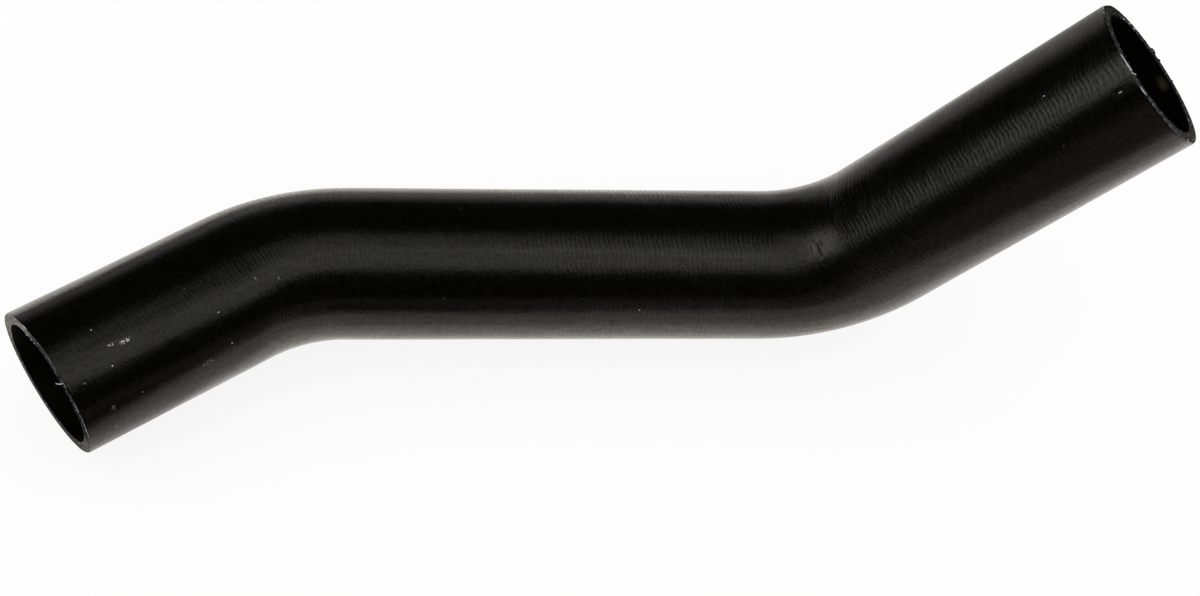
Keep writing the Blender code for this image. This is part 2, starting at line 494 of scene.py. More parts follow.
def dust_effect():
    """Mask of pale specks: one in some of the cells of a loose pattern."""
    inputs = (("Place", "NodeSocketVector", None), ("Spacing", "NodeSocketFloat", 0.006),
              ("Speck Size", "NodeSocketFloat", 0.0003), ("Share", "NodeSocketFloat", 0.3))
    group, given, result = new_effect("dust_specks", inputs, (("Mask", "NodeSocketFloat"),))
    scale = maths(group, "DIVIDE", 1.0, given["Spacing"])
    cells = add_node(group, "ShaderNodeTexVoronoi", {"Vector": given["Place"], "Scale": scale})
    size = maths(group, "MULTIPLY", given["Speck Size"], scale)
    size = maths(group, "MULTIPLY", size, cells.outputs["Color"])
    near = maths(group, "LESS_THAN", cells.outputs["Distance"], size)
    picked = add_node(group, "ShaderNodeSeparateColor", {0: cells.outputs["Color"]})
    chosen = maths(group, "LESS_THAN", picked.outputs["Green"], given["Share"])
    group.links.new(maths(group, "MULTIPLY", near, chosen), result["Mask"])
    return group


def soft_spot_effect():
    """Mask of one soft oval: 1 at its middle and 0 at its edge."""
    inputs = (("Place", "NodeSocketVector", None), ("Middle", "NodeSocketVector", None),
              ("Half Size", "NodeSocketVector", (0.01, 0.01, 1.0)))
    group, given, result = new_effect("soft_spot", inputs, (("Mask", "NodeSocketFloat"),))
    arm = vector_maths(group, "SUBTRACT", given["Place"], given["Middle"])["Vector"]
    share = vector_maths(group, "DIVIDE", arm, given["Half Size"])["Vector"]
    far = vector_maths(group, "LENGTH", share)["Value"]
    group.links.new(fade(group, far, 1.0, 0.0), result["Mask"])
    return group


tape_marks = tape_marks_effect()
fine_grain = fine_grain_effect()
dust_specks = dust_effect()
soft_spot = soft_spot_effect()


def grain_of(tree, place, size):
    """The height of a fine grain of one size in a material."""
    return place_effect(tree, fine_grain, {"Place": place, "Size": size})["Height"]


# Gloss and colours of the rubber
RUBBER_SPECULAR = 0.40
MOST_SHINE = 0.62
COAT_ROUGHNESS = 0.24
BORE_SPECULAR = 0.12
CUT_SPECULAR = 0.004
RUBBER_TINT = (1.0, 0.98, 0.90, 1.0)
RUBBER_BLACK = (0.0016, 0.0015, 0.0011, 1.0)
RUBBER_BLACKEST = (0.0003, 0.0003, 0.0002, 1.0)
DUST_COLOUR = (0.15, 0.15, 0.135, 1.0)
SCUFF_COLOUR = (0.50, 0.49, 0.45, 1.0)
# Colour of the painted highlights: the rims' bright stretches and the glints on the cut faces
PAINTED_HIGHLIGHT_COLOUR = (0.75, 0.75, 0.71, 1.0)

# Painted highlights: bright stretches of the rims where the cut edges catch the light. Which end's rim,
# degrees from the top, half length round, strength
RIM_HIGHLIGHT_STRETCHES = (
    (0.0, 2.0, 0.005, 0.6), (0.0, 20.0, 0.007, 0.8), (0.0, 40.0, 0.008, 0.9), (0.0, 57.0, 0.007, 1.4),
    (0.0, 71.0, 0.007, 1.8), (0.0, 84.0, 0.006, 1.5), (0.0, 104.0, 0.008, 0.9), (0.0, -15.0, 0.003, 1.5),
    (HOSE_LENGTH, 20.0, 0.004, 0.5), (HOSE_LENGTH, 29.0, 0.003, 1.0), (HOSE_LENGTH, 47.0, 0.003, 0.8),
    (HOSE_LENGTH, -45.0, 0.002, 1.2), (HOSE_LENGTH, -28.0, 0.002, 1.0), (HOSE_LENGTH, 62.0, 0.006, 0.4),
    (HOSE_LENGTH, 80.0, 0.010, 0.4), (HOSE_LENGTH, 112.0, 0.004, 0.9))
RIM_HIGHLIGHT_WIDTH = 0.0005
RIM_HIGHLIGHT_BREAKS_SCALE = 900.0
RIM_HIGHLIGHT_BREAKS = (0.38, 0.56)

# Scuffs and single specks: length from the tank end, degrees from the top, half length, half width, strength
SCUFFS = (
    (0.0270, 29.5, 0.0030, 0.0013, 1.0), (0.0222, 27.5, 0.0022, 0.0009, 0.8),
    (0.0525, 73.5, 0.0032, 0.0011, 0.6), (0.0135, 70.5, 0.0012, 0.0016, 0.4),
    (0.3850, -30.0, 0.0020, 0.0010, 0.6))
SPECKS = (
    (0.0190, 41.2, 0.0003, 0.0005, 1.0), (0.0262, 29.2, 0.0009, 0.0004, 1.0),
    (0.0284, 30.0, 0.0006, 0.0004, 0.8), (0.0185, 12.0, 0.0003, 0.0004, 0.7),
    (0.0635, 67.5, 0.0005, 0.0004, 0.5), (0.0125, 89.2, 0.0006, 0.0003, 0.4),
    (0.0630, 41.2, 0.0007, 0.0003, 0.5), (0.0255, 69.8, 0.0004, 0.0003, 0.3),
    (0.0070, 43.5, 0.0005, 0.0003, 0.3), (0.4430, 15.0, 0.0005, 0.0003, 0.7),
    (0.4665, 40.5, 0.0008, 0.0003, 0.6), (0.3520, -35.2, 0.0007, 0.0004, 0.5),
    (0.2400, 72.0, 0.0004, 0.0004, 0.5), (0.0920, 37.5, 0.0003, 0.0010, 0.3),
    (0.0815, 31.5, 0.0003, 0.0012, 0.3))
SCUFF_GAIN = 1.4
SPECK_GAIN = 1.6
SCUFF_BREAKS_SCALE = 1700.0
SCUFF_BREAKS = (0.52, 0.60)

# Lines along the run that are rubbed a little brighter, given in the same way
RUBBED_LINES = ((0.2050, 25.5, 0.0950, 0.0013, 0.50), (0.2700, 29.0, 0.0400, 0.0012, 0.40))


def painted_rim_highlights(tree, place):
    """Mask of the painted highlights on both rims: the stretches where the cut edges catch the light."""
    total = 0.0
    for rim, angle, half_length, strength in RIM_HIGHLIGHT_STRETCHES:
        spot = place_effect(tree, soft_spot, {
            "Place": place, "Middle": (math.radians(angle) * OUTER_RADIUS, rim, 0.0),
            "Half Size": (half_length, RIM_HIGHLIGHT_WIDTH, 1.0)})
        total = maths(tree, "MULTIPLY_ADD", spot["Mask"], strength, total)
    broken = noise_of(tree, place, RIM_HIGHLIGHT_BREAKS_SCALE, 1.0)
    return maths(tree, "MULTIPLY", total, fade(tree, broken, *RIM_HIGHLIGHT_BREAKS), clamp=True)


def spots(tree, place, listed, gain):
    """Mask of all the listed soft spots together."""
    total = 0.0
    for length, angle, half_length, half_width, strength in listed:
        spot = place_effect(tree, soft_spot, {
            "Place": place, "Middle": (math.radians(angle) * OUTER_RADIUS, length, 0.0),
            "Half Size": (half_width, half_length, 1.0)})
        total = maths(tree, "MULTIPLY_ADD", spot["Mask"], strength * gain, total)
    return total


def scuffed(tree, place):
    """Mask of the single specks, and of the scuffs, which a fine grain breaks up."""
    broken = noise_of(tree, place, SCUFF_BREAKS_SCALE, 1.0)
    scuffs = spots(tree, place, SCUFFS, SCUFF_GAIN)
    scuffs = maths(tree, "MULTIPLY", scuffs, fade(tree, broken, *SCUFF_BREAKS))
    return maths(tree, "ADD", scuffs, spots(tree, place, SPECKS, SPECK_GAIN), clamp=True)


def new_rubber(name, specular=RUBBER_SPECULAR):
    """A rubber material with the sockets that are the same all over, its tree, shader and places."""
    material = bpy.data.materials.new(name)
    material.use_nodes = True
    tree = material.node_tree
    shader = tree.nodes["Principled BSDF"]
    shader.inputs["Specular IOR Level"].default_value = specular
    shader.inputs["Specular Tint"].default_value = RUBBER_TINT
    on_skin = add_node(tree, "ShaderNodeUVMap", uv_map="round_and_along").outputs[0]
    on_object = add_node(tree, "ShaderNodeTexCoord").outputs["Object"]
    return material, tree, shader, on_skin, on_object


def raise_bump(tree, shader, height, distance):
    """Gives a material its bump: a height from 0 to 1, which stands for a distance in metres."""
    bump = add_node(tree, "ShaderNodeBump", {"Height": height, "Distance": distance, "Strength": 1.0})
    tree.links.new(bump.outputs[0], shader.inputs["Normal"])


# The tape's strokes: broad ones, and fine brushed ones under them
BROAD_STROKES = {"Pitch": 0.0019, "Wander": 2.4, "Weave": 0.0100}
BRUSHED_STROKES = {"Pitch": 0.0012, "Wander": 5.0, "Weave": 0.0300}

# Where the broad strokes show, as lengths from the tank end between which they fade in or out. Two
# more numbers are the shares that a fade starts and ends with, where they aren't 0 and 1.
NECK_CLEAR = (RUN_END - 0.06, RUN_END - 0.01)
RUN_CLEAR = ((0.165, 0.220, 0.0, 1.8), (RUN_END + 0.02, RUN_END - 0.01))
TANK_BEND_CLEAR = ((0.07, 0.09), (0.15, 0.12))
NECK_BEND_EVEN = ((0.295, 0.315), (0.365, 0.345))

# Patches in which the strokes are weaker, the strokes outside the clear stretches, and what those add
PATCH_SCALE = 38.0
PATCHES = (0.32, 0.56, 0.35, 1.0)
LEAST_STROKES = 0.50
CLEAR_STROKES = 0.90

# How the strokes thin out low down on the front, by the length round the hose from its top
LOW_FRONT_FADE = (0.030, 0.042, 1.0, 0.35)

SKIN_GRAIN = 0.0007
FLECK_SIZE = 0.0014
FLECK_RANGE = (0.38, 0.62)
STREAK_SCALE = (650.0, 60.0, 1.0)
STREAK_RANGE = (0.35, 0.65)

# How much each one raises the skin, how much it shines, and how rough the skin is
SKIN_BUMP = 0.000032
STREAK_BUMP = 0.22
GRAIN_BUMP = 0.80
BRUSHED_BUMP = 0.35
FLECK_BUMP = 0.35
STROKE_SHINE = 0.42
FLECK_SHINE = 0.36
STREAK_SHINE = 0.28
SKIN_ROUGHNESS = (0.3, 0.7, 0.17, 0.22)
NECK_ROUGHER = 0.03
DUST = {"Spacing": 0.006, "Speck Size": 0.0004, "Share": 0.40}


def skin_material():
    """Black skin, satin where the tape pressed it, with strokes, flecks, a little dust and painted highlights
    along the rims.
    """
    material, tree, shader, on_skin, on_object = new_rubber("tape_cured_skin")
    split = add_node(tree, "ShaderNodeSeparateXYZ", {0: on_skin}).outputs
    patches = noise_of(tree, on_skin, PATCH_SCALE, 2.0)
    on_neck = fade(tree, split["Y"], *NECK_CLEAR)
    on_run = band(tree, split["Y"], *RUN_CLEAR)
    on_tank_bend = band(tree, split["Y"], *TANK_BEND_CLEAR)
    clear = maths(tree, "MAXIMUM", on_neck, maths(tree, "MAXIMUM", on_tank_bend, on_run))
    on_bend = band(tree, split["Y"], *NECK_BEND_EVEN)
    patchy = maths(tree, "MAXIMUM", fade(tree, patches, *PATCHES), on_bend)
    amount = maths(tree, "MULTIPLY", maths(tree, "MULTIPLY_ADD", clear, CLEAR_STROKES, LEAST_STROKES), patchy)
    amount = maths(tree, "MULTIPLY", amount, fade(tree, split["X"], *LOW_FRONT_FADE))
    marks = place_effect(tree, tape_marks, {"Place": on_skin, **BROAD_STROKES})["Height"]
    marks = maths(tree, "MULTIPLY", marks, amount)
    brushed = place_effect(tree, tape_marks, {"Place": on_skin, **BRUSHED_STROKES})["Height"]
    grain = grain_of(tree, on_object, SKIN_GRAIN)
    flecks = fade(tree, grain_of(tree, on_object, FLECK_SIZE), *FLECK_RANGE)
    streaks = noise_of(tree, stretched(tree, on_skin, STREAK_SCALE), 1.0, 2.0)
    streaks = fade(tree, streaks, *STREAK_RANGE)
    fine = maths(tree, "MULTIPLY_ADD", streaks, STREAK_BUMP, maths(tree, "MULTIPLY", grain, GRAIN_BUMP))
    fine = maths(tree, "MULTIPLY_ADD", brushed, BRUSHED_BUMP, fine)
    height = maths(tree, "MULTIPLY_ADD", flecks, FLECK_BUMP, maths(tree, "ADD", marks, fine))
    raise_bump(tree, shader, height, SKIN_BUMP)
    shine = maths(tree, "MULTIPLY_ADD", flecks, FLECK_SHINE, maths(tree, "MULTIPLY", marks, STROKE_SHINE))
    shine = maths(tree, "MULTIPLY_ADD", streaks, STREAK_SHINE, shine)
    shine = maths(tree, "ADD", shine, spots(tree, on_skin, RUBBED_LINES, 1.0))
    tree.links.new(maths(tree, "MULTIPLY", shine, MOST_SHINE, clamp=True), shader.inputs["Coat Weight"])
    shader.inputs["Coat Roughness"].default_value = COAT_ROUGHNESS
    roughness = fade(tree, patches, *SKIN_ROUGHNESS)
    roughness = maths(tree, "MULTIPLY_ADD", on_neck, NECK_ROUGHER, roughness)
    tree.links.new(roughness, shader.inputs["Roughness"])
    dust = place_effect(tree, dust_specks, {"Place": on_skin, **DUST})["Mask"]
    colour = mixed(tree, flecks, RUBBER_BLACKEST, RUBBER_BLACK)
    colour = mixed(tree, dust, colour, DUST_COLOUR)
    colour = mixed(tree, scuffed(tree, on_skin), colour, SCUFF_COLOUR)
    # Painted highlights: the rims' bright stretches, where the cut edges catch the light
    colour = mixed(tree, painted_rim_highlights(tree, on_skin), colour, PAINTED_HIGHLIGHT_COLOUR)
    tree.links.new(colour, shader.inputs["Base Color"])
    return material


BORE_GRAIN = 0.0012
BORE_BUMP = 0.00010
BORE_ROUGHNESS = (0.3, 0.7, 0.50, 0.62)
BORE_COLOURS = ((0.0005, 0.0005, 0.0003, 1.0), (0.0014, 0.0014, 0.0008, 1.0))
# A faint yellowish reflection painted just inside the neck's mouth: its middle, half size and colour
REFLECTION_PATCH_MIDDLE = (math.radians(-153.5) * OUTER_RADIUS, HOSE_LENGTH - 0.0040, 0.0)
REFLECTION_PATCH_HALF_SIZE = (0.0052, 0.0038, 1.0)
PAINTED_REFLECTION_COLOUR = (0.038, 0.035, 0.014, 1.0)


def bore_material():
    """The inside: dull black, formed against the mandrel, with a faint yellowish reflection painted just
    inside the neck's mouth.
    """
    material, tree, shader, on_skin, on_object = new_rubber("mandrel_formed_bore", BORE_SPECULAR)
    grain = grain_of(tree, on_object, BORE_GRAIN)
    raise_bump(tree, shader, grain, BORE_BUMP)
    tree.links.new(fade(tree, grain, *BORE_ROUGHNESS), shader.inputs["Roughness"])
    colour = mixed(tree, grain, *BORE_COLOURS)
    painted_reflection = place_effect(tree, soft_spot, {
        "Place": on_skin, "Middle": REFLECTION_PATCH_MIDDLE, "Half Size": REFLECTION_PATCH_HALF_SIZE})
    tree.links.new(mixed(tree, painted_reflection["Mask"], colour, PAINTED_REFLECTION_COLOUR), shader.inputs["Base Color"])
    return material


# Where the tank's cut face is pale, as fades by the length round it from its top
UPPER_PALE = ((0.002, -0.012), (-0.060, -0.044, 0.30, 1.0))
LOWER_PALE = ((0.046, 0.060, 0.0, 0.60), (0.078, 0.066, 0.50, 1.0))

# The cut rubber's colours, its torn grain, the glints painted into its colour as highlights, and its dullness
DARK_CUT = ((0.0015, 0.0014, 0.0012, 1.0), (0.011, 0.0105, 0.009, 1.0))
PALE_CUT = ((0.085, 0.078, 0.068, 1.0), (0.240, 0.222, 0.195, 1.0))
COARSE_TEAR = 0.0011
FINE_TEAR = 0.0004
FINE_SHARE = 0.6
TEAR_BUMP = 0.00035
MOTTLE = (0.35, 0.65)
GLINT_SCALE = 1500.0
GLINTS = (0.64, 0.72, 0.0, 0.5)
CUT_DULLNESS = 0.30
TANK_DULLER = 0.22
MOTTLE_DULLER = 0.10


def cut_material():
    """The hand-cut ends: torn rubber, grey-brown and dull over much of the tank's, dark at the neck, with
    glints and rim stretches painted pale as highlights.
    """
    material, tree, shader, on_skin, on_object = new_rubber("hand_cut_rubber", CUT_SPECULAR)
    split = add_node(tree, "ShaderNodeSeparateXYZ", {0: on_skin}).outputs
    at_tank = maths(tree, "LESS_THAN", split["Y"], HOSE_LENGTH / 2.0)
    upper = band(tree, split["X"], *UPPER_PALE)
    lower = band(tree, split["X"], *LOWER_PALE)
    paleness = maths(tree, "MULTIPLY", at_tank, maths(tree, "MAXIMUM", upper, lower))
    coarse = grain_of(tree, on_object, COARSE_TEAR)
    fine = grain_of(tree, on_object, FINE_TEAR)
    mottle = fade(tree, coarse, *MOTTLE)
    dark = mixed(tree, mottle, *DARK_CUT)
    pale = mixed(tree, mottle, *PALE_CUT)
    colour = mixed(tree, paleness, dark, pale)
    # Painted highlights: sparse glints and the rims' bright stretches, painted pale into the cut's colour
    glints = noise_of(tree, on_object, GLINT_SCALE, 1.0)
    colour = mixed(tree, fade(tree, glints, *GLINTS), colour, PAINTED_HIGHLIGHT_COLOUR)
    colour = mixed(tree, painted_rim_highlights(tree, on_skin), colour, PAINTED_HIGHLIGHT_COLOUR)
    tree.links.new(colour, shader.inputs["Base Color"])
    dullness = maths(tree, "MULTIPLY_ADD", at_tank, TANK_DULLER, CUT_DULLNESS)
    dullness = maths(tree, "MULTIPLY_ADD", mottle, MOTTLE_DULLER, dullness)
    tree.links.new(dullness, shader.inputs["Roughness"])
    raise_bump(tree, shader, maths(tree, "MULTIPLY_ADD", fine, FINE_SHARE, coarse), TEAR_BUMP)
    return material


for material in (skin_material(), bore_material(), cut_material()):
    mesh.materials.append(material)

bpy.ops.object.select_all(action="DESELECT")
hose.select_set(True)
bpy.context.view_layer.objects.active = hose
bpy.ops.object.shade_smooth_by_angle(angle=SMOOTH_ANGLE)
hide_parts(HOSE_NODE)
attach(hose, BODY)

# The torn threads
# Where the knife tore the rubber it left thin threads and curls on both rims: ones on the cut faces and their
# edges, coloured pale as painted highlights, and dark ones that stand out on the far side of both ends.
THREAD_SIDES = 8
THREAD_STEPS = 10.0
THREAD_GRAIN = 0.0004
THREAD_MOTTLE = (0.35, 0.65)
THREAD_DULLNESS = (0.50, 0.60)
# Pale colours painted on the threads that catch the light, as highlights, and the dark threads' own black
THREAD_HIGHLIGHT_COLOURS = ((0.46, 0.46, 0.43, 1.0), (0.64, 0.64, 0.61, 1.0))
DARK_THREAD_COLOURS = ((0.002, 0.002, 0.0017, 1.0), (0.006, 0.006, 0.0053, 1.0))
HIGHLIGHT_THREAD_GLOSS = 0.30
DARK_THREAD_GLOSS = 0.05

# Each thread: its end, angle and foot's radius, the way that it grows and the way that it curls to
# (each as shares outward, round the rim and beyond the cut), curl radius, turn in degrees, thickness
# Threads whose pale colour is a painted highlight
HIGHLIGHT_THREADS = (
    (0.0, 37.0, OUTER_RADIUS - 0.0016, (-0.35, 0.0, 0.94), (0.0, -1.0, 0.0), 0.0030, 50.0, 0.00028),
    (0.0, -18.0, BORE_RADIUS + 0.0008, (0.2, 0.3, 0.9), (0.0, 1.0, 0.0), 0.0007, 60.0, 0.00035),
    (0.0, -13.0, BORE_RADIUS + 0.0014, (-0.5, 0.0, 0.8), (0.0, -1.0, 0.0), 0.0008, 70.0, 0.00030),
    (0.0, -9.0, BORE_RADIUS + 0.0006, (-0.6, 0.3, 0.6), (0.0, 1.0, 0.0), 0.0007, 60.0, 0.00035),
    (0.0, -4.0, BORE_RADIUS + 0.0005, (-0.6, -0.3, 0.6), (0.0, 1.0, 0.0), 0.0005, 50.0, 0.00025),
    (HOSE_LENGTH, 18.5, OUTER_RADIUS - 0.0005, (0.0, 1.0, 0.0), (-1.0, 0.0, 0.0), 0.0290, 14.0, 0.00032),
    (HOSE_LENGTH, 33.0, OUTER_RADIUS - 0.0006, (0.2, 0.9, 0.3), (-0.9, 0.0, 0.3), 0.0014, 75.0, 0.00030),
    (HOSE_LENGTH, 44.5, OUTER_RADIUS - 0.0005, (0.0, 1.0, 0.0), (-1.0, 0.0, 0.0), 0.0290, 7.0, 0.00030),
    (HOSE_LENGTH, -42.0, OUTER_RADIUS - 0.0006, (0.0, 1.0, 0.1), (-1.0, 0.0, 0.2), 0.0030, 22.0, 0.00035),
    (HOSE_LENGTH, -82.0, BORE_RADIUS + 0.0012, (0.0, -1.0, 0.1), (0.0, 0.0, 1.0), 0.0050, 12.0, 0.00034),
    (HOSE_LENGTH, -92.0, BORE_RADIUS + 0.0018, (0.2, -1.0, 0.1), (0.0, 0.0, 1.0), 0.0040, 22.0, 0.00036),
    (HOSE_LENGTH, -100.0, BORE_RADIUS + 0.0022, (0.1, -1.0, 0.1), (0.0, 0.0, 1.0), 0.0040, 18.0, 0.00034),
    (HOSE_LENGTH, 112.0, OUTER_RADIUS - 0.0012, (0.0, 1.0, 0.1), (-1.0, 0.0, 0.2), 0.0020, 35.0, 0.00035),
)
DARK_THREADS = (
    (HOSE_LENGTH, -130.0, OUTER_RADIUS - 0.0005, (1.0, 0.0, 0.2), (0.0, 1.0, 0.0), 0.0015, 130.0, 0.00060),
    (HOSE_LENGTH, -134.0, OUTER_RADIUS - 0.0005, (1.0, 0.2, 0.1), (0.0, -1.0, 0.0), 0.0014, 80.0, 0.00048),
    (HOSE_LENGTH, -154.0, OUTER_RADIUS - 0.0005, (1.0, 0.0, 0.3), (0.0, 1.0, 0.0), 0.0011, 60.0, 0.00048),
    (HOSE_LENGTH, -118.0, OUTER_RADIUS - 0.0005, (1.0, 0.3, 0.0), (0.0, 1.0, 0.0), 0.0008, 60.0, 0.00055),
    (HOSE_LENGTH, -111.0, OUTER_RADIUS - 0.0009, (0.8, 0.5, 0.0), (-0.3, 1.0, 0.0), 0.0016, 70.0, 0.00050),
    (HOSE_LENGTH, -99.0, OUTER_RADIUS - 0.0009, (1.0, 0.0, 0.2), (0.0, -1.0, 0.0), 0.0008, 60.0, 0.00042),
    (HOSE_LENGTH, -92.0, OUTER_RADIUS - 0.0009, (0.8, 0.5, 0.0), (-0.3, 1.0, 0.0), 0.0016, 60.0, 0.00050),
    (HOSE_LENGTH, -80.0, OUTER_RADIUS - 0.0009, (0.7, 0.6, 0.0), (-0.3, 1.0, 0.0), 0.0014, 60.0, 0.00046),
    (0.0, -118.0, OUTER_RADIUS - 0.0005, (1.0, 0.2, 0.1), (0.0, 1.0, 0.0), 0.0005, 60.0, 0.00026),
)

# How far to each side of a thread's foot, in radians, the rim is looked at to find its direction
RIM_LOOK = 0.05


def rim_place(rim, angle, radius):
    """A point of a finished rim, and the ways outward, round the rim and beyond the cut there."""
    turned = math.radians(angle)
    place = shaped_point(rim, turned, radius)
    before = shaped_point(rim, turned - RIM_LOOK, radius)
    after = shaped_point(rim, turned + RIM_LOOK, radius)
    top, front = section_at(rim)[2:]
    round_it = (after - before).normalized()
    beyond = (top * math.cos(turned) + front * math.sin(turned)).cross(round_it).normalized()
    outward = round_it.cross(beyond)
    return place + TO_ITS_PLACE, outward, round_it, beyond if rim > 0.0 else -beyond


def grow_thread(rim, angle, radius, grows, curls, curl_radius, turn, thickness):
    """One closed thread that starts inside the rubber and curls as it leaves it."""
    place, *ways = rim_place(rim, angle, radius)
    out = sum((way * share for way, share in zip(ways, grows)), Vector()).normalized()
    side = sum((way * share for way, share in zip(ways, curls)), Vector())
    side = (side - out * side.dot(out)).normalized()
    foot = place - out * thickness
    turn = math.radians(turn)
    bpy.ops.object.select_all(action="DESELECT")
    bpy.ops.mesh.primitive_circle_add(
        vertices=THREAD_SIDES, radius=thickness / 2.0, location=foot,
        rotation=out.to_track_quat("Z", "Y").to_euler())
    bpy.ops.object.transform_apply(location=True, rotation=True, scale=True)
    bpy.ops.object.mode_set(mode="EDIT")
    bpy.ops.mesh.select_mode(type="EDGE")
    bpy.ops.mesh.select_all(action="SELECT")
    step = curl_radius * turn / THREAD_STEPS
    swing(foot + side * curl_radius, out.cross(side), turn, curl_radius, step)
    tip = out * math.cos(turn) + side * math.sin(turn)
    bpy.ops.mesh.extrude_region_move(TRANSFORM_OT_translate={"value": tip * thickness})
    bpy.ops.mesh.merge(type="CENTER")
    bpy.ops.mesh.select_all(action="SELECT")
    bpy.ops.mesh.fill_holes(sides=0)
    bpy.ops.mesh.normals_make_consistent(inside=False)
    bpy.ops.object.mode_set(mode="OBJECT")
    return bpy.context.object


def thread_material(name, colours, gloss):
    """Torn rubber, in a fine grain of two shades."""
    material, tree, shader, _, on_object = new_rubber(name, gloss)
    grain = grain_of(tree, on_object, THREAD_GRAIN)
    mottle = fade(tree, grain, *THREAD_MOTTLE)
    tree.links.new(mixed(tree, mottle, *colours), shader.inputs["Base Color"])
    tree.links.new(fade(tree, grain, *THREAD_MOTTLE, *THREAD_DULLNESS), shader.inputs["Roughness"])
    return material


for name, listed, colours, gloss in (
        ("highlight_painted_threads", HIGHLIGHT_THREADS, THREAD_HIGHLIGHT_COLOURS, HIGHLIGHT_THREAD_GLOSS),
        ("dark_threads", DARK_THREADS, DARK_THREAD_COLOURS, DARK_THREAD_GLOSS)):
    grown = [grow_thread(*thread) for thread in listed]
    bpy.ops.object.select_all(action="DESELECT")
    for thread in grown:
        thread.select_set(True)
    bpy.context.view_layer.objects.active = grown[0]
    bpy.ops.object.join()
    threads = bpy.context.object
    threads.name = name
    bpy.ops.object.transform_apply(location=True, rotation=True, scale=True)
    threads.data.materials.append(thread_material(name, colours, gloss))
    bpy.ops.object.shade_smooth_by_angle(angle=SMOOTH_ANGLE)
    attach(threads, BODY)

# The floor
# A plain white sheet that the hose lies on. It keeps the hose's soft shadow, and the camera
# sees it a little whiter than the light on it would make it.
FLOOR_SIZE = 40.0
FLOOR_HEIGHT = -0.0001
FLOOR_COLOUR = (0.90, 0.90, 0.90, 1.0)
CAMERA_GLOW_SHARE = 0.88
WARM_GLOW_COLOUR = (1.0, 0.95, 0.895, 1.0)

bpy.ops.object.select_all(action="DESELECT")
bpy.ops.mesh.primitive_plane_add(size=FLOOR_SIZE, location=(0.0, 0.0, FLOOR_HEIGHT))
floor = bpy.context.object
floor.name = "floor"
bpy.ops.object.transform_apply(location=True, rotation=True, scale=True)
floor_paint = bpy.data.materials.new("white_sheet")
floor_paint.use_nodes = True
tree = floor_paint.node_tree
tree.nodes["Principled BSDF"].inputs["Base Color"].default_value = FLOOR_COLOUR
tree.nodes["Principled BSDF"].inputs["Roughness"].default_value = 1.0
tree.nodes["Principled BSDF"].inputs["Specular IOR Level"].default_value = 0.0
rays = add_node(tree, "ShaderNodeLightPath")
white_glow = add_node(tree, "ShaderNodeEmission", {"Color": (1.0, 1.0, 1.0, 1.0), "Strength": 1.0})
warm_glow = add_node(tree, "ShaderNodeEmission", {"Color": WARM_GLOW_COLOUR, "Strength": 1.0})
seen = maths(tree, "MULTIPLY", rays.outputs["Is Camera Ray"], CAMERA_GLOW_SHARE)
blend = add_node(tree, "ShaderNodeMixShader", {
    0: seen, 1: tree.nodes["Principled BSDF"].outputs[0], 2: white_glow.outputs[0]})
blend = add_node(tree, "ShaderNodeMixShader", {
    0: rays.outputs["Is Glossy Ray"], 1: blend.outputs[0], 2: warm_glow.outputs[0]})
tree.links.new(blend.outputs[0], tree.nodes["Material Output"].inputs["Surface"])
floor.data.materials.append(floor_paint)

# The light
# An even white room, with black velvet round the table that only the rubber's gloss sees. Over
# the front of the table the velvet thins to a net, and a soft lamp stands at the net's left.
VELVET_RADIUS = 2.5
VELVET_COLOUR = (0.015, 0.015, 0.015, 1.0)

# The tent's edges are tilts to the front or turns to the side, and the cloths' are places on the table
NET_BACK_EDGE = (math.radians(-17.0), math.radians(0.0))
NET_BACK_SHIFTS = ((math.radians(8.0), math.radians(18.0), 15.0),
                   (math.radians(-12.0), math.radians(-30.0), 8.0))
NET_FRONT_EDGE = (math.radians(49.0), math.radians(37.0))
NET_FRONT_SHIFTS = ((math.radians(-42.0), math.radians(-58.0), 26.0),)
NET_LEFT_EDGE = (math.radians(-72.0), math.radians(-64.0))
NET_RIGHT_EDGE = (math.radians(60.0), math.radians(50.0))
NET_THIN = 0.42
NET_THINNEST = 0.66
NET_THINNEST_FROM = (math.radians(6.0), math.radians(13.0))
HAZE_THIN = 0.40
HAZE_EDGE = (math.radians(-68.0), math.radians(-88.0))
HAZE_LEFT_EDGE = (math.radians(-45.0), math.radians(-15.0))
FRONT_CLOTH_EDGE = (-0.112, -0.062)
FRONT_CLOTH_THIN = 0.70
FRONT_CLOTH_END = -0.030
FRONT_HAZE = ((math.radians(-30.0), math.radians(0.0)), (0.03, 0.12))
FRONT_CLOTH_SLANT = 0.25
BACK_CLOTH_EDGE = (0.36, 0.15)
CLOTH_SIZE = 2.0
CLOTH_WIDENING = 2.0
CLOTH_HEIGHT = -0.00005
LAMP_DISTANCE = 2.2
LAMP_SIDE = math.radians(-46.0)
LAMP_TILT = math.radians(17.0)
LAMP_WIDTH = 1.5
LAMP_DEPTH = 1.3
LAMP_POWER = 4.0

world = bpy.data.worlds.new("white_room")
bpy.context.scene.world = world
world.use_nodes = True
world.node_tree.nodes["Background"].inputs["Color"].default_value = (1.0, 1.0, 1.0, 1.0)
world.node_tree.nodes["Background"].inputs["Strength"].default_value = 1.0
world.cycles.sampling_method = "NONE"


def velvet_way(tree):
    """A velvet point's own place, and its tilt to the front and its turn to the side seen from the table."""
    place = add_node(tree, "ShaderNodeTexCoord").outputs["Object"]
    way = vector_maths(tree, "NORMALIZE", place)["Vector"]
    split = add_node(tree, "ShaderNodeSeparateXYZ", {0: way}).outputs
    tilt = maths(tree, "ARCTAN2", maths(tree, "MULTIPLY", split["Y"], -1.0), split["Z"])
    return place, tilt, maths(tree, "ARCSINE", split["X"])


